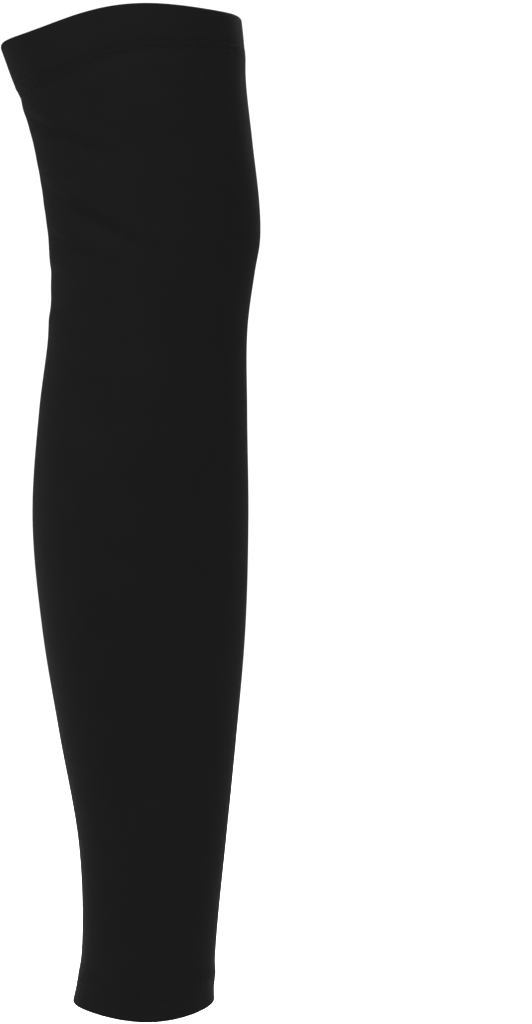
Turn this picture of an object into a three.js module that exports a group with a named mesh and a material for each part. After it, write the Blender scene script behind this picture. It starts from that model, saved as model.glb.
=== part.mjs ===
// A cycling leg sleeve: a tube of stretch knit that covers the leg from the lower thigh to the ankle.
// It keeps the form of a slightly bent leg. Its two ends are turned back on themselves and hemmed.
// Millimetres. +Z runs up the leg, +X points to the knee cap and shin, and Y goes across the leg.
// The origin is the middle of the thigh opening, where the sleeve grips the leg.

import * as THREE from "three";
import { LoftGeometry } from "three/addons/geometries/LoftGeometry.js";

const { degToRad, euclideanModulo, lerp, smoothstep } = THREE.MathUtils;

// Driving dimensions of the cloth
const CLOTH = 1.2;
const HEM_PLIES = 2;
const SEWN_GAP = 0.3;

// Levels of the leg under the sleeve. Heights are above the ankle opening.
// back and front are where the outer surface lies on X, and width is its size across Y.
// egg moves the widest place of a level towards the calf (above 0) or the shin (below 0).
const LEVELS = [
  { height: -10, back: -28.4, front: 51.5, width: 68.0, egg: 0.0 },
  { height: 6, back: -25.9, front: 51.9, width: 67.0, egg: 0.0 },
  { height: 20, back: -23.1, front: 52.2, width: 64.5, egg: 0.0 },
  { height: 45, back: -21.8, front: 54.0, width: 62.0, egg: 0.03 },
  { height: 90, back: -24.1, front: 58.6, width: 65.0, egg: 0.08 },
  { height: 150, back: -34.7, front: 64.5, width: 80.0, egg: 0.12 },
  { height: 210, back: -44.4, front: 69.4, width: 100.0, egg: 0.15 },
  { height: 270, back: -49.6, front: 71.0, width: 112.0, egg: 0.15 },
  { height: 330, back: -45.9, front: 70.3, width: 107.0, egg: 0.1 },
  { height: 376, back: -40.4, front: 70.5, width: 103.0, egg: 0.04 },
  { height: 408, back: -39.6, front: 74.7, width: 104.5, egg: 0.0 },
  { height: 424, back: -40.6, front: 77.4, width: 106.0, egg: -0.015 },
  { height: 440, back: -42.6, front: 77.4, width: 108.0, egg: -0.03 },
  { height: 480, back: -49.5, front: 73.1, width: 114.0, egg: -0.05 },
  { height: 514, back: -60.8, front: 69.5, width: 121.0, egg: -0.03 },
  { height: 560, back: -79.7, front: 68.6, width: 128.0, egg: 0.0 },
];

// The two cut ends. height is the middle of the opening, rise lifts its front and lowers its back,
// side lifts both flanks, skew leans that lift forwards, and dip hollows the rim at its four corners.
// towards is 1 where the rim is above the leg's middle and -1 where it is below.
// hem is the depth of the turned band at the flanks, and taper what it gains at the back.
// pull is how far the stitches draw the cloth in at the flanks, or lift it where pull is under 0,
// and lean is what the pull gains at the back. tuck is how far the rim turns in towards the leg at the
// flanks, or out where it is under 0, and nip is what the tuck gains at the front.
const THIGH_END = {
  height: 540, rise: 7.0, side: 0.5, skew: 1.4, dip: 2.75,
  hem: 25, taper: 3.5, pull: 0.4, lean: 0.65, tuck: 1.15, nip: 0.45, towards: 1,
};
const ANKLE_END = {
  height: 0.4, rise: 0.5, side: -3.4, skew: -1.4, dip: -0.5,
  hem: 15, taper: 1, pull: -0.4, lean: 0.15, tuck: -0.3, nip: 0, towards: -1,
};
const PULL_SPREAD = 4.0;

// Drag folds behind the bent knee, alike on both flanks. Each one leaves the back of the leg at height
// and sinks by drop on its way forwards to reach, an angle from the back. Its ridge lies above its crease,
// or below it where depth is under 0. atBack is the share of the depth that shows at the very back.
const FOLDS = [
  { height: 496, drop: 34, reach: 88, spread: 4.5, depth: 1.0, atBack: 0.15 },
  { height: 466, drop: 12, reach: 60, spread: 4.0, depth: 0.8, atBack: 0.15 },
  { height: 457, drop: 46, reach: 108, spread: 5.0, depth: 1.2, atBack: 0.1 },
  { height: 431, drop: 26, reach: 84, spread: 4.5, depth: 1.1, atBack: 0.0 },
  { height: 411, drop: 10, reach: 50, spread: 5.0, depth: 0.7, atBack: 0.4 },
  { height: 385, drop: 14, reach: 75, spread: 6.5, depth: -0.7, atBack: 0.5 },
];

// How finely the surfaces are divided
const POINTS_AROUND = 44;
const TUBE_ROWS = [
  { to: 31, step: 5 },
  { to: 371, step: 17 },
  { to: THIGH_END.height - THIGH_END.hem, step: 5 },
];
const HEM_STATIONS = [0, 0.12, 0.3, 0.6];
const FOLD_ARC_STEPS = 4;

// The middle of the thigh opening, which is the origin of the finished sleeve
const ORIGIN = new THREE.Vector3(-0.25, 0, THIGH_END.height);

const COLUMNS = ["back", "front", "width", "egg"];
const levelCurve = new THREE.CubicInterpolant(
  LEVELS.map((level) => level.height),
  LEVELS.flatMap((level) => COLUMNS.map((column) => level[column])),
  COLUMNS.length,
);

// Height of the rim of one end at an angle round the leg. Angle 0 is the shin.
function rimHeight(end, angle) {
  const flank = Math.sin(angle) ** 2;
  const corner = Math.sin(2 * angle) ** 2;
  const tilt = end.rise * Math.cos(angle);
  return end.height + tilt + flank * (end.side + end.skew * Math.cos(angle)) - end.dip * corner;
}

// Depth of the hem of one end at an angle round the leg
function hemDepth(end, angle) {
  return end.hem - end.taper * Math.cos(angle);
}

// Height of the row of stitches that closes the hem of one end
function seamHeight(end, angle) {
  return rimHeight(end, angle) - end.towards * hemDepth(end, angle);
}

// How far one fold lifts the cloth: a ridge beside a crease, faded out along the fold's reach
function foldLift(fold, angle, height) {
  const fromBack = Math.abs(euclideanModulo(angle, 2 * Math.PI) - Math.PI);
  const along = fromBack / degToRad(fold.reach);
  const line = fold.height - fold.drop * smoothstep(along, 0, 1);
  const above = (height - line) / fold.spread;
  const grow = lerp(fold.atBack, 1, smoothstep(along, 0, 0.3));
  const fade = 1 - smoothstep(along, 0.4, 1);
  return fold.depth * grow * fade * above * Math.exp((1 - above * above) / 2);
}

// How far one hem is drawn in: by its stitches, and past them by a tuck that grows as far as the rim
function hemDip(end, angle, height) {
  const past = end.towards * (height - seamHeight(end, angle));
  const pull = end.pull - end.lean * Math.cos(angle);
  const tuck = end.tuck + end.nip * Math.cos(angle);
  const stitches = Math.exp(-((past / PULL_SPREAD) ** 2) / 2);
  return pull * stitches + (tuck * Math.max(past, 0)) / hemDepth(end, angle);
}

// A point of the sleeve at an angle and a height, inset from the outer surface
function clothPoint(angle, height, inset) {
  const [back, front, width, egg] = levelCurve.evaluate(height);
  const forward = Math.cos(angle);
  const across = Math.sin(angle);
  const folds = FOLDS.reduce((sum, fold) => sum + foldLift(fold, angle, height), 0);
  const dips = hemDip(THIGH_END, angle, height) + hemDip(ANKLE_END, angle, height);
  const out = folds - dips - inset;
  const x = (front + back) / 2 + ((front - back) / 2 + out) * forward;
  const y = ((width / 2) * (1 - egg * forward) + out) * across;
  return new THREE.Vector3(x, y, height).sub(ORIGIN);
}

// One closed ring round the leg, with its height given as a function of the angle
function ring(heightAt, inset) {
  return Array.from({ length: POINTS_AROUND }, (_, index) => {
    const angle = (index / POINTS_AROUND) * 2 * Math.PI;
    return clothPoint(angle, heightAt(angle), inset);
  });
}

// A hollow wall: rings go up the outside and down the inside, and the last joins the first
function wallGeometry(rings) {
  return new LoftGeometry([...rings, rings[0]]);
}

// Shares of the tube's length at which its rings lie, closer together where the cloth folds
function tubeShares() {
  const bottom = ANKLE_END.height + ANKLE_END.hem;
  const heights = [bottom];
  for (const zone of TUBE_ROWS) {
    const from = heights.at(-1);
    const count = Math.round((zone.to - from) / zone.step);
    for (let row = 1; row <= count; row += 1) heights.push(from + ((zone.to - from) * row) / count);
  }
  return heights.map((height) => (height - bottom) / (heights.at(-1) - bottom));
}

// The single ply between the two rows of stitches
function legTubeGeometry() {
  const heightAt = (share) => (angle) => {
    const bottom = seamHeight(ANKLE_END, angle) + SEWN_GAP / 2;
    const top = seamHeight(THIGH_END, angle) - SEWN_GAP / 2;
    return lerp(bottom, top, share);
  };
  const shares = tubeShares();
  const outer = shares.map((share) => ring(heightAt(share), 0));
  const inner = shares.map((share) => ring(heightAt(share), CLOTH)).reverse();
  return wallGeometry([...outer, ...inner]);
}

// The turned end: flat against the stitches, two plies thick, with a round fold at the rim
function hemGeometry(end) {
  const thickness = HEM_PLIES * CLOTH;
  const radius = thickness / 2;
  const heightAt = (share, past) => (angle) => {
    const seam = seamHeight(end, angle) + (end.towards * SEWN_GAP) / 2;
    const foldStart = rimHeight(end, angle) - end.towards * radius;
    return lerp(seam, foldStart, share) + end.towards * past;
  };
  const outer = HEM_STATIONS.map((share) => ring(heightAt(share, 0), 0));
  const rim = Array.from({ length: FOLD_ARC_STEPS + 1 }, (_, step) => {
    const turn = (step / FOLD_ARC_STEPS) * Math.PI;
    return ring(heightAt(1, radius * Math.sin(turn)), radius * (1 - Math.cos(turn)));
  });
  const inner = HEM_STATIONS.map((share) => ring(heightAt(share, 0), thickness)).reverse();
  const rings = [...outer, ...rim, ...inner];
  return wallGeometry(end.towards > 0 ? rings : rings.reverse());
}

// Black knit, dull, a little duller where it is doubled
const tubeKnit = new THREE.MeshStandardMaterial({ color: 0x1c1c1d, roughness: 0.82, metalness: 0 });
const hemKnit = new THREE.MeshStandardMaterial({ color: 0x1d1d1e, roughness: 0.86, metalness: 0 });

const PIECES = [
  { name: "leg_tube", geometry: legTubeGeometry(), material: tubeKnit },
  { name: "thigh_hem", geometry: hemGeometry(THIGH_END), material: hemKnit },
  { name: "ankle_hem", geometry: hemGeometry(ANKLE_END), material: hemKnit },
];

const sleeve = new THREE.Group();
for (const piece of PIECES) {
  const mesh = new THREE.Mesh(piece.geometry, piece.material);
  mesh.name = piece.name;
  sleeve.add(mesh);
}

export default sleeve;
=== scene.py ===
# %% [markdown]
# A cycling leg sleeve is a tube of stretch knit that covers the leg from the lower thigh to the ankle.
# This lesson dresses its plain solids: a fine cloth wall, two turned hems, the stitches that hold them,
# and a black knit finish. The solids come first, because every surface below has to lie where they are.
# Lengths in Blender are metres. +Z runs up the leg, +X points to the shin, and the origin is the middle of
# the thigh opening.

import bpy
import numpy as np
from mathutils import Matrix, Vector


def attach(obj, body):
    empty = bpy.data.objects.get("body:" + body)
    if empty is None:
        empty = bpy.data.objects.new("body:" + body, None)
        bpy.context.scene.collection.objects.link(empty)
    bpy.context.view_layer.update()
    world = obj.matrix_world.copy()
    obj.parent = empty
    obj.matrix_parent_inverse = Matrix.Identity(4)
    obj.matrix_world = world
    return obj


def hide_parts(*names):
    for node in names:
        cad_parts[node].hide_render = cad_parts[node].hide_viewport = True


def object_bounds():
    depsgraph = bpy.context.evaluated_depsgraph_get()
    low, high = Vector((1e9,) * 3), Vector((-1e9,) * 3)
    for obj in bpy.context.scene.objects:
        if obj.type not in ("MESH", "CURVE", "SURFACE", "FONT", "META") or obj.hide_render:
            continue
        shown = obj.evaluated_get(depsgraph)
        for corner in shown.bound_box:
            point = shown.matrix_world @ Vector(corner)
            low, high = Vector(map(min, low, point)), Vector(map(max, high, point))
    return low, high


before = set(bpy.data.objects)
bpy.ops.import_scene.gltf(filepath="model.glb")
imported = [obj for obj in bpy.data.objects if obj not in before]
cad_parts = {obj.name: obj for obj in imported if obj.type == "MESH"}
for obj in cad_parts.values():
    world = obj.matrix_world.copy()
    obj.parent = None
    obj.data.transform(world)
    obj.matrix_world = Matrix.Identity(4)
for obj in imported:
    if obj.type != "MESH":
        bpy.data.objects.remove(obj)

cad_low, cad_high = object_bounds()
print("solids:", sorted(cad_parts), "size in mm:", [round(1000 * side) for side in cad_high - cad_low])

# %% [markdown]
# The sleeve takes the form of a slightly bent leg, so its shape is a stack of egg-shaped levels, as a sock
# maker's last is drawn. One could sculpt it, but a table with one row for each level is easier to check
# against the solids. Heights are millimetres above the ankle opening. A cubic through the rows of a column
# gives its value at any height, so the whole surface is a function of an angle and a height.

# %% The leg's levels
MM = 0.001
CALF_HEIGHT = 270.0
KNEE_HEIGHT = 430.0
# back and front are places along X, width is the size across, and egg moves the widest place to the calf.
LEVEL_COLUMNS = ("height", "back", "front", "width", "egg")
LEVELS = [
    (-10, -28.4, 51.5, 68.0, 0.0),
    (6, -25.9, 51.9, 67.0, 0.0),
    (20, -23.1, 52.2, 64.5, 0.0),
    (45, -21.8, 54.0, 62.0, 0.03),
    (90, -24.1, 58.6, 65.0, 0.08),
    (150, -34.7, 64.5, 80.0, 0.12),
    (210, -44.4, 69.4, 100.0, 0.15),
    (270, -49.6, 71.0, 112.0, 0.15),
    (330, -45.9, 70.3, 107.0, 0.1),
    (376, -40.4, 70.5, 103.0, 0.04),
    (408, -39.6, 74.7, 104.5, 0.0),
    (424, -40.6, 77.4, 106.0, -0.015),
    (440, -42.6, 77.4, 108.0, -0.03),
    (480, -49.5, 73.1, 114.0, -0.05),
    (514, -60.8, 69.5, 121.0, -0.03),
    (560, -79.7, 68.6, 128.0, 0.0),
]
level = dict(zip(LEVEL_COLUMNS, np.array(LEVELS).T))


def column_at(column, height):
    """A cubic through the rows of one column. Its slope at a row is the mean of the slopes on both sides."""
    knots, values = level["height"], level[column]
    secants = np.diff(values) / np.diff(knots)
    slopes = np.concatenate([secants[:1], (secants[:-1] + secants[1:]) / 2, secants[-1:]])
    row = np.clip(np.searchsorted(knots, height, side="right") - 1, 0, len(knots) - 2)
    step = knots[row + 1] - knots[row]
    t = (height - knots[row]) / step
    start = values[row] * (1 + 2 * t) + step * slopes[row] * t
    end = values[row + 1] * (3 - 2 * t) + step * slopes[row + 1] * (t - 1)
    return start * (1 - t) ** 2 + end * t**2


calf_depth = column_at("front", CALF_HEIGHT) - column_at("back", CALF_HEIGHT)
print("depth at the calf in mm:", round(float(calf_depth), 1))

# %% [markdown]
# Both ends are cut a little unevenly and turned inwards into a hem. The rim's height changes round the leg,
# and the row of stitches follows it at the hem's depth. These lines bound the three pieces of cloth. Each
# end is one set of named sizes in millimetres, so the same functions serve both. An angle of 0 is the shin.

# %% The two cut ends
# rise tilts the rim, side and skew lift its flanks, and dip hollows its corners.
# hem is the hem's depth at the flanks, and taper what it gains at the back.
# pull, lean and flank make the depth of a valley along the stitches, or of a ridge where it is under 0.
# spread is the valley's width, and centre its place past the stitches.
# tuck and nip turn the rim in, and pillow swells the outer ply, or the opposite where they are under 0.
# towards is 1 where the rim is above the stitches and -1 where it is below them.
THIGH_END = dict(
    height=540, rise=7.0, side=0.5, skew=1.4, dip=2.75, hem=25, taper=3.5,
    pull=0.4, lean=0.65, flank=0.5, spread=5.0, centre=0.0,
    tuck=1.15, nip=0.45, pillow=0.25, towards=1,
)
ANKLE_END = dict(
    height=0.4, rise=0.5, side=-3.4, skew=-1.4, dip=-0.5, hem=15, taper=1,
    pull=-0.45, lean=0.15, flank=-0.7, spread=4.0, centre=-1.9,
    tuck=-0.3, nip=0, pillow=-0.25, towards=-1,
)
ORIGIN = np.array([-0.25, 0.0, THIGH_END["height"]])


def rim_height(end, angle):
    """The opening's middle height, plus a tilt and a lift of the flanks, less a dip at the four corners."""
    flank = np.sin(angle) ** 2
    lift = end["side"] + end["skew"] * np.cos(angle)
    return end["height"] + end["rise"] * np.cos(angle) + flank * lift - end["dip"] * np.sin(2 * angle) ** 2


def hem_depth(end, angle):
    """The hem's depth, which grows a little towards the back."""
    return end["hem"] - end["taper"] * np.cos(angle)


def seam_height(end, angle):
    """The rim's height, less the hem's depth."""
    return rim_height(end, angle) - end["towards"] * hem_depth(end, angle)


print("thigh rim at the front in mm above the ankle:", float(rim_height(THIGH_END, 0.0)))

# %% [markdown]
# Where the knee bends, the cloth behind it is squeezed into drag folds that run forwards and down. Each fold
# is a ridge beside a crease, faded out along its line. A cloth simulation could find such folds, but a
# stretched sleeve shows only a few shallow ones, at places that the photograph gives, so a table with a row
# for each fold puts them exactly there.

# %% Drag folds
FOLD_COLUMNS = ("height", "drop", "reach", "spread", "depth", "at_back")
FOLDS = [
    (496, 34, 88, 4.5, 1.0, 0.15),
    (466, 12, 60, 4.0, 0.8, 0.15),
    (457, 46, 108, 5.0, 1.2, 0.1),
    (431, 26, 84, 4.5, 1.1, 0.0),
    (411, 10, 50, 5.0, 0.7, 0.4),
    (385, 14, 75, 6.5, -0.7, 0.5),
]
FOOT_DEPTH = 0.35
FOOT_PLACE = -0.55
FOOT_WIDTH = 0.36
GROW_END = 0.3
FADE_START = 0.4
NEAR_FLANK = np.radians(225)


def smooth(value, low, high):
    """An S-shaped step from 0 at low to 1 at high."""
    t = np.clip((value - low) / (high - low), 0, 1)
    return t * t * (3 - 2 * t)


def bell(distance, width):
    """A bell curve, 1 at a distance of 0."""
    return np.exp(-((distance / width) ** 2))


def from_back(angle):
    """The angle's distance from the back of the leg, from 0 to pi."""
    return np.abs(np.mod(angle, 2 * np.pi) - np.pi)


def drag_folds(angle, height):
    """Each fold lifts the cloth by depth times q times exp((1 - q squared) / 2), with q in spreads above its
    line, and a narrow bell sharpens its foot. The line sinks in an S-shape, and the depth grows from its
    share at the back and fades out at the reach, an angle in degrees."""
    lift = 0.0
    for row in FOLDS:
        fold = dict(zip(FOLD_COLUMNS, row))
        along = from_back(angle) / np.radians(fold["reach"])
        q = (height - fold["height"] + fold["drop"] * smooth(along, 0, 1)) / fold["spread"]
        grow = fold["at_back"] + (1 - fold["at_back"]) * smooth(along, 0, GROW_END)
        fade = 1 - smooth(along, FADE_START, 1)
        foot = FOOT_DEPTH * bell(q - FOOT_PLACE, FOOT_WIDTH)
        lift = lift + fold["depth"] * grow * fade * (q * np.exp((1 - q * q) / 2) - foot)
    return lift


knee_heights = np.linspace(380, 500, 241)
fold_relief = np.ptp(drag_folds(NEAR_FLANK, knee_heights))
print("folds:", len(FOLDS), "relief on the flank in mm:", round(fold_relief, 2))

# %% [markdown]
# Between the folds the squeezed knit is never quite smooth. Finer crinkles, a tenth of a millimetre high,
# keep it from looking moulded. They are waves whose phase drifts, under a mask that keeps them behind the
# knee.

# %% Crinkles
CRINKLE_DEPTH = 0.14
CRINKLE_PITCH = 10.5
CRINKLE_SLANT = 26.0
CRINKLE_ANGLE, CRINKLE_ANGLE_SPREAD = 0.7, 0.6
CRINKLE_HEIGHT, CRINKLE_HEIGHT_SPREAD = 446.0, 48.0
SLOW_DRIFT, SLOW_ROUND, SLOW_UP = 3.0, 3.1, 0.021
QUICK_DRIFT, QUICK_ROUND, QUICK_UP = 2.0, 2, 0.047


def crinkles(angle, height):
    """A slanted sine wave up the leg under a bell-shaped mask on each flank. Two sines shift its phase."""
    around = from_back(angle)
    flank = bell(around - CRINKLE_ANGLE, CRINKLE_ANGLE_SPREAD)
    mask = flank * bell(height - CRINKLE_HEIGHT, CRINKLE_HEIGHT_SPREAD)
    slow = SLOW_DRIFT * np.sin(SLOW_ROUND * around + SLOW_UP * height)
    quick = QUICK_DRIFT * np.sin(QUICK_ROUND * angle - QUICK_UP * height)
    turns = (height + CRINKLE_SLANT * around + (slow + quick)) / CRINKLE_PITCH
    return CRINKLE_DEPTH * mask * np.sin(2 * np.pi * turns)


print("crinkles on the flank in mm:", round(np.ptp(crinkles(NEAR_FLANK, knee_heights)), 2))

# %% [markdown]
# Two rows of stitches close each hem. At the thigh they draw the cloth in along a shallow valley, and at the
# ankle they let it bulge above them. They press a narrow groove under each thread, with a low ridge between
# the rows and small puckers beside them. Past them the thigh hem turns in towards its rim. All of this is
# relief on one surface, so it is added to the folds.

# %% Stitch relief
NEEDLE_ROWS = (0.8, 4.8)
GROOVE_DEPTH, GROOVE_WIDTH = 0.12, 0.55
RIDGE_LIFT, RIDGE_WIDTH = 0.12, 1.1
PUCKER_DEPTH, PUCKER_SPREAD = 0.14, 7.0
PUCKERS_ROUND, WANDERS_ROUND, FADES_ROUND = 64, 5, 7
PUCKER_WANDER, PUCKER_FADE = 2.2, 0.35


def hem_pull(end, angle, height):
    """A valley, two grooves with a ridge between them, puckers that fade with distance from the stitches,
    and a tuck that grows evenly from the stitches to the rim. Other sines make the puckers uneven."""
    past = end["towards"] * (height - seam_height(end, angle))
    pull = end["pull"] - end["lean"] * np.cos(angle) + end["flank"] * np.sin(angle) ** 2
    valley = pull * bell(past - end["centre"], end["spread"])
    grooves = GROOVE_DEPTH * sum(bell(past - row, GROOVE_WIDTH) for row in NEEDLE_ROWS)
    ridge = RIDGE_LIFT * bell(past - np.mean(NEEDLE_ROWS), RIDGE_WIDTH)
    wave = np.sin(PUCKERS_ROUND * angle + PUCKER_WANDER * np.sin(WANDERS_ROUND * angle))
    uneven = wave * (1 - PUCKER_FADE + PUCKER_FADE * np.sin(FADES_ROUND * angle + 1))
    puckers = PUCKER_DEPTH * uneven * np.exp(-np.abs(past) / PUCKER_SPREAD)
    tuck = (end["tuck"] + end["nip"] * np.cos(angle)) * np.maximum(past, 0) / hem_depth(end, angle)
    return ridge + puckers - valley - grooves - tuck


first_row = seam_height(THIGH_END, NEAR_FLANK) + NEEDLE_ROWS[0]
print("relief at a thigh stitch in mm:", round(hem_pull(THIGH_END, NEAR_FLANK, first_row), 2))

# %% [markdown]
# With the levels and the relief, any point of the cloth comes from one function of an angle and a height.
# The walls, the hems and every thread below are drawn with it, so they can't drift apart.

# %% The cloth surface
ANGLE_STEP = 0.002
HEIGHT_STEP = 0.1


def relief(angle, height):
    """How far the cloth stands out from the leg's levels, in millimetres."""
    pulls = hem_pull(THIGH_END, angle, height) + hem_pull(ANKLE_END, angle, height)
    return drag_folds(angle, height) + crinkles(angle, height) + pulls


def cloth(angle, height, inset=0.0):
    """Points of the cloth: an egg-shaped ring at each height, moved out by the relief and in by the inset."""
    back, front, width, egg = (column_at(column, height) for column in LEVEL_COLUMNS[1:])
    out = relief(angle, height) - inset
    x = (front + back) / 2 + ((front - back) / 2 + out) * np.cos(angle)
    y = (width / 2 * (1 - egg * np.cos(angle)) + out) * np.sin(angle)
    x, y, z = np.broadcast_arrays(x, y, height)
    return (np.stack([x, y, z], axis=-1) - ORIGIN) * MM


def outwards(angle, height):
    """Unit normals of the cloth, from the cross product of small steps round the leg and up it."""
    around = cloth(angle + ANGLE_STEP, height) - cloth(angle - ANGLE_STEP, height)
    up = cloth(angle, height + HEIGHT_STEP) - cloth(angle, height - HEIGHT_STEP)
    normal = np.cross(around, up)
    return normal / np.linalg.norm(normal, axis=-1, keepdims=True)


print("a point of the knee cap in m:", cloth(0.0, KNEE_HEIGHT).round(4).tolist())

# %% [markdown]
# Every wall below is a profile carried round the leg: rings of points that close on themselves both ways,
# like the skin of a ring-shaped balloon. One function turns such rings into a mesh. It also keeps a map of
# the cloth in metres, because the knit's columns run up the cut panel.

# %% Rings to mesh
SEAM_ANGLE = np.radians(152)
AROUND = 264
SHARP_EDGE = np.radians(50)
ring_angle = SEAM_ANGLE + 2 * np.pi * np.arange(AROUND) / AROUND


def ring_lengths(points):
    """Distance round each ring from its first point, with the full turn as a last column."""
    closed = np.concatenate([points, points[:, :1]], axis=1)
    steps = np.linalg.norm(np.diff(closed, axis=1), axis=-1)
    return np.concatenate([np.zeros((len(points), 1)), np.cumsum(steps, axis=1)], axis=1)


def loop_mesh(name, rings, cloth_map):
    """A mesh of quads between each ring and the next, and each point and the next, closed both ways. The map
    holds the cloth's coordinates along the first and the second edge of each row of quads."""
    rows, columns = rings.shape[:2]
    index = np.arange(rows * columns).reshape(rows, columns)
    above, beside = np.roll(index, -1, axis=0), np.roll(index, -1, axis=1)
    corner = np.roll(above, -1, axis=1)
    quads = np.stack([index, beside, corner, above], axis=-1).reshape(-1, 4)
    mesh = bpy.data.meshes.new(name)
    mesh.from_pydata(rings.reshape(-1, 3), [], quads)
    low, high = cloth_map
    corners = np.stack([low[:, :-1], low[:, 1:], high[:, 1:], high[:, :-1]], axis=2)
    mesh.uv_layers.new(name="cloth").data.foreach_set("uv", corners.reshape(-1).astype(np.float32))
    mesh.shade_smooth()
    mesh.set_sharp_from_angle(angle=SHARP_EDGE)
    piece = bpy.data.objects.new(name, mesh)
    bpy.context.scene.collection.objects.link(piece)
    print(name, "has", len(mesh.polygons), "faces")
    return piece


calf_girth = ring_lengths(cloth(ring_angle, CALF_HEIGHT)[None])[0, -1]
print("points round a ring:", AROUND, "girth of the calf in mm:", round(calf_girth / MM))

# %% [markdown]
# The tube is one ply of knit. Its wall goes up the outside from the ankle's stitches to the thigh's, and
# down the inside. Rings lie closer together behind the knee, where the folds are. On the map each side of
# the ply is a sheet of its own, with the distance round counted from the shin.

# %% The leg tube
CLOTH = 1.2
SEWN_GAP = 0.02
ZONE_COLUMNS = ("top", "step")
TUBE_ZONES = [
    (31, 1.4),
    (371, 2.2),
    (THIGH_END["height"] - THIGH_END["hem"], 1.2),
]
INNER_STRIDE = 4
MAP_SHIN, MAP_GAP = 0.22, 0.46


def zone_shares():
    """Shares of the tube's length, with each zone split into equal steps of about its own size."""
    heights = [ANKLE_END["height"] + ANKLE_END["hem"]]
    for row in TUBE_ZONES:
        zone = dict(zip(ZONE_COLUMNS, row))
        count = round((zone["top"] - heights[-1]) / zone["step"])
        heights.extend(np.linspace(heights[-1], zone["top"], count + 1)[1:])
    return (np.array(heights) - heights[0]) / (heights[-1] - heights[0])


def tube_rings(shares, inset):
    """Rings between the two rows of stitches, at shares of the way from the ankle's to the thigh's."""
    bottom = seam_height(ANKLE_END, ring_angle) + SEWN_GAP / 2
    top = seam_height(THIGH_END, ring_angle) - SEWN_GAP / 2
    return cloth(ring_angle[None, :], bottom + (top - bottom) * shares[:, None], inset)


def make_leg_tube():
    """All rings of the outer side going up, then some rings of the inner side going down, with both ends."""
    shares = zone_shares()
    outer = tube_rings(shares, 0.0)
    inner = tube_rings(np.append(shares[:0:-INNER_STRIDE], shares[0]), CLOTH)
    rings = np.concatenate([outer, inner])
    lengths = ring_lengths(rings)
    across = MAP_SHIN + lengths - lengths[:, -1:] * (1 - SEAM_ANGLE / (2 * np.pi))
    across[len(outer):] += MAP_GAP
    along = rings[:, :1, 2] - cad_low.z
    low = np.stack([across, along + 0 * across], axis=-1)
    high = np.roll(low, -1, axis=0)
    for turn in (len(outer) - 1, len(rings) - 1):
        high[turn] = low[turn] + (0, CLOTH * MM)
    return loop_mesh("leg_tube_cloth", rings, (low, high))


leg_tube = make_leg_tube()

# %% [markdown]
# A hem is the cloth turned in and laid against itself. Seen in section it is a hairpin: up the outside, round
# a tight fold at the rim, down the inside to a raw edge, and back between the two plies. Drawing that
# section keeps the rim round and soft, where a thickened band would end in a sharp corner.

# %% A hem's section
PLY = 1.1
PLY_GAP = 0.2
STITCHED_DEPTH = 7.0
STITCHED_POINTS, PLAIN_POINTS, RIM_POINTS = 15, 8, 10


def hairpin(depth):
    """The section as pairs of distance past the stitches and inset: two straight plies joined by arcs."""
    outer_radius, inner_radius = PLY + PLY_GAP / 2, PLY_GAP / 2
    fold_start = depth - outer_radius
    stitched = np.linspace(0, STITCHED_DEPTH, STITCHED_POINTS)
    plain = np.linspace(STITCHED_DEPTH, fold_start, PLAIN_POINTS)[1:]
    fine, coarse = np.concatenate([stitched, plain]), np.linspace(0, fold_start, PLAIN_POINTS)
    turn = np.linspace(0, np.pi, RIM_POINTS)[1:-1]

    def arc(radius):
        """Half a circle round the middle of the fold."""
        return np.stack([fold_start + radius * np.sin(turn), outer_radius - radius * np.cos(turn)], axis=-1)

    def ply(inset, distances):
        """A straight line at one inset."""
        return np.stack([distances, np.full(len(distances), inset)], axis=-1)

    return np.concatenate([
        ply(0.0, fine),
        arc(outer_radius),
        ply(2 * PLY + PLY_GAP, fine[::-1]),
        ply(PLY + PLY_GAP, coarse),
        arc(inner_radius)[::-1],
        ply(PLY, coarse[::-1]),
    ])


print("points in a hem's section:", len(hairpin(THIGH_END["hem"])))

# %% The two hems
def hem_band(end, angle, distance, inset):
    """The cloth at a distance past the stitches. The outer ply swells by a sine from them to the rim."""
    seam = seam_height(end, angle) + end["towards"] * SEWN_GAP / 2
    share = distance / end["hem"]
    pillow = end["pillow"] * np.sin(np.pi * share) * np.where(inset < PLY, 1, 0)
    return cloth(angle, seam + (rim_height(end, angle) - seam) * share, inset - pillow)


def make_hem(name, end):
    """The section carried round the leg. Its map is the distance round and the distance along the section."""
    section = hairpin(end["hem"])
    rings = hem_band(end, ring_angle[None, :], section[:, :1], section[:, 1:])
    if end["towards"] < 0:
        rings = rings[::-1]
    lengths = ring_lengths(rings)
    steps = np.linalg.norm(np.diff(rings[:, 0], axis=0), axis=-1)
    along = np.concatenate([[0], np.cumsum(steps)])[:, None]
    low = np.stack([lengths, along + 0 * lengths], axis=-1)
    high = np.roll(low, -1, axis=0)
    high[-1] = low[-1] + (0, PLY * MM)
    return loop_mesh(name, rings, (low, high))


thigh_hem = make_hem("thigh_hem_band", THIGH_END)
ankle_hem = make_hem("ankle_hem_band", ANKLE_END)

# %% [markdown]
# Each hem is closed by a cover stitch: two rows of straight stitches on the outside, and a looper thread that
# zigzags between them on the inside and binds the raw edge. All threads are one kind of shape, a thin tube
# along a path, so one function sweeps a small ring along many paths at once.

# %% Thread tubes
THREAD = 0.34
THREAD_SIDES = 6


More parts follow.
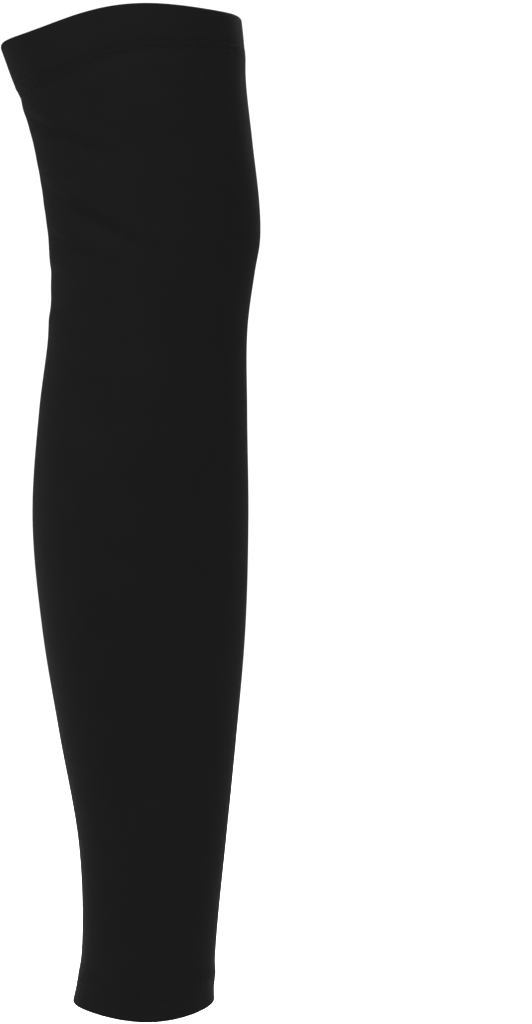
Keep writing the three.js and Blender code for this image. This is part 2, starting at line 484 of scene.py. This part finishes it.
def thread_tubes(name, paths, normals):
    """Tubes along paths: round each path point a ring that lies across the path."""
    tangent = np.gradient(paths, axis=1)
    side = np.cross(tangent, normals)
    side /= np.linalg.norm(side, axis=-1, keepdims=True)
    turn = 2 * np.pi * np.arange(THREAD_SIDES) / THREAD_SIDES
    ring = normals[:, :, None] * np.cos(turn)[:, None] + side[:, :, None] * np.sin(turn)[:, None]
    points = paths[:, :, None] + ring * THREAD / 2 * MM
    count, steps = paths.shape[:2]
    index = np.arange(count * steps * THREAD_SIDES).reshape(count, steps, THREAD_SIDES)
    beside = np.roll(index, -1, axis=2)
    walls = np.stack([index[:, :-1], beside[:, :-1], beside[:, 1:], index[:, 1:]], axis=-1).reshape(-1, 4)
    caps = np.concatenate([index[:, 0, ::-1], index[:, -1]])
    mesh = bpy.data.meshes.new(name)
    mesh.from_pydata(points.reshape(-1, 3), [], walls.tolist() + caps.tolist())
    mesh.shade_smooth()
    piece = bpy.data.objects.new(name, mesh)
    bpy.context.scene.collection.objects.link(piece)
    print(name, "has", count, "threads and", len(mesh.polygons), "faces")
    return piece


print("thread in mm:", THREAD, "with", THREAD_SIDES, "sides")

# %% Needle rows
STITCH = 2.8
STITCH_PLACES = np.linspace(0.05, 0.95, 6)
STITCH_RISE, STITCH_SINK, STITCH_FULLNESS = 0.7, 0.35, 0.6
MEASURED_ANGLES = 1441


def stitch_marks(end, distance):
    """Angles that split the ring at a distance past the stitches' line into stitches of equal length."""
    angle = np.linspace(0, 2 * np.pi, MEASURED_ANGLES)
    points = cloth(angle, seam_height(end, angle) + end["towards"] * distance)
    length = np.append(0, np.cumsum(np.linalg.norm(np.diff(points, axis=0), axis=-1)))
    count = round(length[-1] / (STITCH * MM))
    return np.interp(np.linspace(0, length[-1], count + 1), length, angle)


def needle_row(end, distance):
    """One row of stitches: short arcs along the hem that rise from the cloth and sink back into it."""
    marks = stitch_marks(end, distance)
    angle = marks[:-1, None] + np.diff(marks)[:, None] * STITCH_PLACES
    height = seam_height(end, angle) + end["towards"] * distance
    lift = THREAD * (STITCH_RISE * np.sin(np.pi * STITCH_PLACES) ** STITCH_FULLNESS - STITCH_SINK)
    return hem_band(end, angle, distance, -lift), outwards(angle, height)


def make_hem_stitches(name, end):
    """Both needle rows of one hem as one piece."""
    rows = [needle_row(end, distance) for distance in NEEDLE_ROWS]
    paths, normals = (np.concatenate(parts) for parts in zip(*rows))
    return thread_tubes(name, paths, normals)


thigh_stitches = make_hem_stitches("thigh_hem_stitches", THIGH_END)
ankle_stitches = make_hem_stitches("ankle_hem_stitches", ANKLE_END)

# %% Looper threads
LOOPER_POINTS = 8


def zigzag(turns):
    """A straight-sided wave from -1 to 1 that repeats once a turn."""
    return np.arcsin(np.sin(2 * np.pi * turns)) / (np.pi / 2)


def looper_row(end):
    """One closed zigzag inside the hem, from one needle row to the other and back at each stitch."""
    middle, half = np.mean(NEEDLE_ROWS), np.ptp(NEEDLE_ROWS) / 2
    count = len(stitch_marks(end, 0.0)) - 1
    turns = np.linspace(0, count, LOOPER_POINTS * count + 1)
    angle = 2 * np.pi * turns / count
    height = seam_height(end, angle) + end["towards"] * (middle + half * zigzag(turns))
    inset = 2 * PLY + PLY_GAP + STITCH_SINK * THREAD
    return cloth(angle, height, inset)[None], -outwards(angle, height)[None]


thigh_looper = thread_tubes("thigh_hem_looper", *looper_row(THIGH_END))
ankle_looper = thread_tubes("ankle_hem_looper", *looper_row(ANKLE_END))

# %% [markdown]
# A cut-and-sewn tube is closed by one long seam at the inner back of the leg. It is a flat seam: the two
# edges meet side by side, and a thread laces across them in a close zigzag, so that nothing rubs the skin.

# %% The long seam
LACING_HALF_WIDTH = 2.6
LACING_PITCH = 1.7
LACING_POINTS = 6
LACING_MARGIN = 0.6
LACING_LIFT = 0.08


def seam_lacing():
    """One zigzag thread up the leg between the hems, swinging across the seam line once in each pitch."""
    start = seam_height(ANKLE_END, SEAM_ANGLE) + LACING_MARGIN
    stop = seam_height(THIGH_END, SEAM_ANGLE) - LACING_MARGIN
    count = round((stop - start) / LACING_PITCH)
    turns = np.linspace(0, count, LACING_POINTS * count + 1)
    height = start + (stop - start) * turns / count
    radius = (column_at("width", height) + column_at("front", height) - column_at("back", height)) / 4
    angle = SEAM_ANGLE + LACING_HALF_WIDTH * zigzag(turns) / radius
    return cloth(angle, height, -LACING_LIFT)[None], outwards(angle, height)[None]


long_seam = thread_tubes("long_seam_lacing", *seam_lacing())

# %% [markdown]
# Shader maths is easier to read as Python than as a web of nodes. A small class wraps a socket, and each sum
# or product on it adds a Math node. One method makes any other node.

# %% Shader expressions
class Flow:
    """A socket of a material's node tree. Arithmetic on it adds Math nodes."""

    def __init__(self, tree, socket=None):
        """Keeps the tree and the socket."""
        self.tree = tree
        self.socket = socket

    def node(self, kind, settings=None, inputs=None, output=0):
        """Adds a node: its settings first, then its sockets, each set to a value or linked to a Flow."""
        made = self.tree.nodes.new(kind)
        for name, value in (settings or {}).items():
            setattr(made, name, value)
        for key, value in (inputs or {}).items():
            if isinstance(value, Flow):
                self.tree.links.new(value.socket, made.inputs[key])
            else:
                made.inputs[key].default_value = value
        return Flow(self.tree, made.outputs[output])

    def math(self, operation, first, second=0.0):
        """A Math node on one or two values."""
        return self.node("ShaderNodeMath", {"operation": operation}, {0: first, 1: second})

    def __add__(self, other):
        """This plus the other."""
        return self.math("ADD", self, other)

    def __radd__(self, other):
        """The other plus this."""
        return self.math("ADD", other, self)

    def __sub__(self, other):
        """This less the other."""
        return self.math("SUBTRACT", self, other)

    def __rsub__(self, other):
        """The other less this."""
        return self.math("SUBTRACT", other, self)

    def __mul__(self, other):
        """This times the other."""
        return self.math("MULTIPLY", self, other)

    def __rmul__(self, other):
        """The other times this."""
        return self.math("MULTIPLY", other, self)

    def __truediv__(self, other):
        """This over the other."""
        return self.math("DIVIDE", self, other)

    def __rtruediv__(self, other):
        """The other over this."""
        return self.math("DIVIDE", other, self)

    def __abs__(self):
        """The size of this without its sign."""
        return self.math("ABSOLUTE", self)


print("operators:", sorted(name.strip("_") for name in vars(Flow) if name.startswith("__r")))

# %% [markdown]
# Every finish starts from Blender's main shader, with some of its sockets set and some linked. The floor's
# plain white needs no links, so it is made first.

# %% A plain finish
FLOOR_WHITE = 0.95


def grey(value):
    """An opaque grey."""
    return (value, value, value, 1)


def new_material(name):
    """An empty finish: its material, its main shader and a Flow that adds nodes to it."""
    material = bpy.data.materials.new(name)
    material.use_nodes = True
    return material, material.node_tree.nodes["Principled BSDF"], Flow(material.node_tree)


def blend_greys(flow, share, first, second):
    """A Mix node between two greys."""
    colours = {0: share, 6: grey(first), 7: grey(second)}
    return flow.node("ShaderNodeMix", {"data_type": "RGBA"}, colours, output=2)


def set_shader(flow, shader, values):
    """Sets or links the main shader's sockets by name."""
    for name, value in values.items():
        if isinstance(value, Flow):
            flow.tree.links.new(value.socket, shader.inputs[name])
        else:
            shader.inputs[name].default_value = value


white_floor, white_shader, white_flow = new_material("white_floor")
plain_white = {"Base Color": grey(FLOOR_WHITE), "Roughness": 1.0, "Specular IOR Level": 0.0}
set_shader(white_flow, white_shader, plain_white)
print(white_floor.name, "has", len(white_flow.tree.nodes), "nodes")

# %% [markdown]
# Plain jersey shows columns of small V-shaped loops, about half a millimetre wide. They are far too small to
# model, so a height pattern on the cloth map bumps the surface. Black knit reflects little, but its fibre
# ends catch light at the outline, which the sheen gives. Broad soft mottling keeps it from looking painted.

# %% The black knit
WALE = 0.00062
COURSE = 0.00050
LOOP_SLANT = 1.3
LOOP_SHARE = 0.6
LOOP_RELIEF = 0.00022
MOTTLE_SCALE, SPECKLE_SCALE, STREAK_SCALE = 38.0, 900.0, 420.0
MOTTLE_SHARE, SPECKLE_SHARE, STREAK_SHARE = 0.4, 0.3, 0.3
TONE_SPAN = 0.3
ROUGHNESS_SPAN = 0.12


def knit_loops(flow, across, along):
    """Two legs to a column, each a ridge, and each cut into loops that slant towards the column's middle."""
    side = abs(flow.math("FRACT", across / WALE) - 0.5)
    leg = 1 - abs(side - 0.25) * 4
    loop = flow.math("COSINE", (along / COURSE + side * LOOP_SLANT) * (2 * np.pi)) * 0.5 + 0.5
    return leg * (loop * LOOP_SHARE + (1 - LOOP_SHARE))


def black_knit(name, black, roughness):
    """A dull black knit with a constant sheen, mottled colour and roughness, and bumped by its loops."""
    material, shader, flow = new_material(name)
    parts = flow.node("ShaderNodeSeparateXYZ", None, {0: flow.node("ShaderNodeUVMap", {"uv_map": "cloth"})})
    across, along = (Flow(flow.tree, parts.socket.node.outputs[axis]) for axis in ("X", "Y"))
    place = flow.node("ShaderNodeTexCoord", output="Object")
    mottle = flow.node("ShaderNodeTexNoise", None, {"Vector": place, "Scale": MOTTLE_SCALE, "Detail": 3.0})
    speckle = flow.node("ShaderNodeTexNoise", None, {"Vector": place, "Scale": SPECKLE_SCALE, "Detail": 2.0})
    columns = {"W": across * STREAK_SCALE, "Detail": 2.0}
    streaks = flow.node("ShaderNodeTexNoise", {"noise_dimensions": "1D"}, columns)
    tone = mottle * MOTTLE_SHARE + speckle * SPECKLE_SHARE + streaks * STREAK_SHARE
    bump = {"Strength": 0.5, "Distance": LOOP_RELIEF, "Height": knit_loops(flow, across, along)}
    set_shader(flow, shader, {
        "Base Color": blend_greys(flow, tone, black * (1 - TONE_SPAN), black * (1 + TONE_SPAN)),
        "Roughness": mottle * ROUGHNESS_SPAN + (roughness - ROUGHNESS_SPAN / 2),
        "Normal": flow.node("ShaderNodeBump", None, bump),
        "Specular IOR Level": 0.011,
        "Sheen Weight": 0.00175,
        "Sheen Roughness": 0.25,
    })
    print(name, "has", len(flow.tree.nodes), "nodes")
    return material


tube_knit = black_knit("black_tube_knit", 0.0037, 0.72)
hem_knit = black_knit("black_hem_knit", 0.0038, 0.74)

# %% [markdown]
# Sewing thread is smoother than the knit: spun polyester with a slight gleam and a fine twist. A wave along
# the object's own coordinates stands for the twist.

# %% The thread
TWISTS = 900.0
TWIST_RELIEF = 0.00008


def sewing_thread(name, dark, light):
    """A smooth black thread with a fine twist in its colour and a light bump."""
    material, shader, flow = new_material(name)
    place = flow.node("ShaderNodeTexCoord", output="Object")
    wave = {"Vector": place, "Scale": TWISTS, "Distortion": 2.0}
    twist = flow.node("ShaderNodeTexWave", None, wave, output="Fac")
    bump = {"Strength": 0.3, "Distance": TWIST_RELIEF, "Height": twist}
    set_shader(flow, shader, {
        "Base Color": blend_greys(flow, twist, dark, light),
        "Normal": flow.node("ShaderNodeBump", None, bump),
        "Roughness": 0.6,
        "Specular IOR Level": 0.024,
    })
    print(name, "has", len(flow.tree.nodes), "nodes")
    return material


thread = sewing_thread("sewing_thread", 0.0036, 0.0063)

# %% [markdown]
# Every piece gets its finish, rides on the sleeve's one body, and stands for the solid that it replaces. The
# threads replace nothing: they are fine detail that the solids leave out.

# %% Finishes and frame
FITTINGS = [
    (leg_tube, tube_knit, "tube_knit", ["leg_tube"]),
    (thigh_hem, hem_knit, "hem_knit", ["thigh_hem"]),
    (ankle_hem, hem_knit, "hem_knit", ["ankle_hem"]),
    (thigh_stitches, thread, "hem_knit", []),
    (ankle_stitches, thread, "hem_knit", []),
    (thigh_looper, thread, "hem_knit", []),
    (ankle_looper, thread, "hem_knit", []),
    (long_seam, thread, "tube_knit", []),
]
for piece, finish, slot, nodes in FITTINGS:
    piece.data.materials.append(finish)
    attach(piece, "root")
    if nodes:
        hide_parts(*nodes)
    print(piece.name, "has finish", finish.name)

# %% [markdown]
# Stretch knit is cut smaller than the leg, so its area here is larger than the cut. The tube's panel narrows
# to the ankle.

# %% [markdown]
# The camera stands a metre away, level with the middle of the sleeve, and sees it from the side. The lens and
# its sideways shift give the photograph's framing: one sleeve in the left half of a tall picture.

# %% The camera
PICTURE_WIDTH, PICTURE_HEIGHT = 532, 1024
CAMERA_DISTANCE = 1.05
CAMERA_X, CAMERA_HEIGHT = 5.4, 273.3
MM_PER_PIXEL = 0.5587
AXIS_PIXEL = 131
SENSOR = 36.0

camera_data = bpy.data.cameras.new("side_view")
camera_data.sensor_width = SENSOR
camera_data.lens = SENSOR * CAMERA_DISTANCE / (PICTURE_HEIGHT * MM_PER_PIXEL * MM)
camera_data.shift_x = (PICTURE_WIDTH / 2 - AXIS_PIXEL) / PICTURE_HEIGHT
camera = bpy.data.objects.new("side_view", camera_data)
camera.location = ((CAMERA_X - ORIGIN[0]) * MM, -CAMERA_DISTANCE, (CAMERA_HEIGHT - ORIGIN[2]) * MM)
camera.rotation_euler = (np.pi / 2, 0, 0)
bpy.context.scene.collection.objects.link(camera)
bpy.context.scene.camera = camera
print("lens in mm:", round(camera_data.lens, 1))

# %% [markdown]
# A white floor and white surroundings act as a light tent, as in a catalogue picture. The sleeve is held up,
# so the floor lies a foot's height below it.

# %% The floor
FLOOR_DROP = 0.08
FLOOR_SIZE = 30.0

floor_mesh = bpy.data.meshes.new("floor")
floor_corners = np.array([(-1, -1, 0), (1, -1, 0), (1, 1, 0), (-1, 1, 0)]) * FLOOR_SIZE / 2
floor_mesh.from_pydata(floor_corners + (0, 0, cad_low.z - FLOOR_DROP), [], [(0, 1, 2, 3)])
floor_mesh.materials.append(white_floor)
floor = bpy.data.objects.new("floor", floor_mesh)
bpy.context.scene.collection.objects.link(floor)
print("floor in mm below the sleeve:", round(FLOOR_DROP / MM))

# %% [markdown]
# The surroundings alone would leave black cloth flat. Three soft lamps shape it: a weak one low on the left
# for the calf, one high in front for the folds, and one high behind for the outline. The floor and the
# surroundings are already as white as a picture can show, so the lamps change only the sleeve.

# %% The light
TENT_STRENGTH = 1.1
LAMP_COLUMNS = ("name", "place", "size", "power")
LAMPS = [
    ("left_lamp", (-1.5, 0.6, -0.5), 0.6, 4.0),
    ("front_lamp", (-0.3, -1.0, 1.1), 0.8, 57.0),
    ("back_lamp", (0.3, 1.2, 1.1), 0.8, 87.0),
]

tent = bpy.data.worlds.new("white_tent")
tent.use_nodes = True
tent.node_tree.nodes["Background"].inputs["Color"].default_value = grey(1.0)
tent.node_tree.nodes["Background"].inputs["Strength"].default_value = TENT_STRENGTH
bpy.context.scene.world = tent
bpy.context.scene.view_settings.view_transform = "Standard"

middle = (cad_low + cad_high) / 2
for row in LAMPS:
    lamp = dict(zip(LAMP_COLUMNS, row))
    light = bpy.data.objects.new(lamp["name"], bpy.data.lights.new(lamp["name"], "AREA"))
    light.data.size = lamp["size"]
    light.data.energy = lamp["power"]
    light.location = lamp["place"]
    light.rotation_euler = (middle - light.location).to_track_quat("-Z", "Y").to_euler()
    bpy.context.scene.collection.objects.link(light)
    print(lamp["name"], "has", lamp["power"], "W")

# %% [markdown]
# The dressed sleeve has to keep the size of its solids.
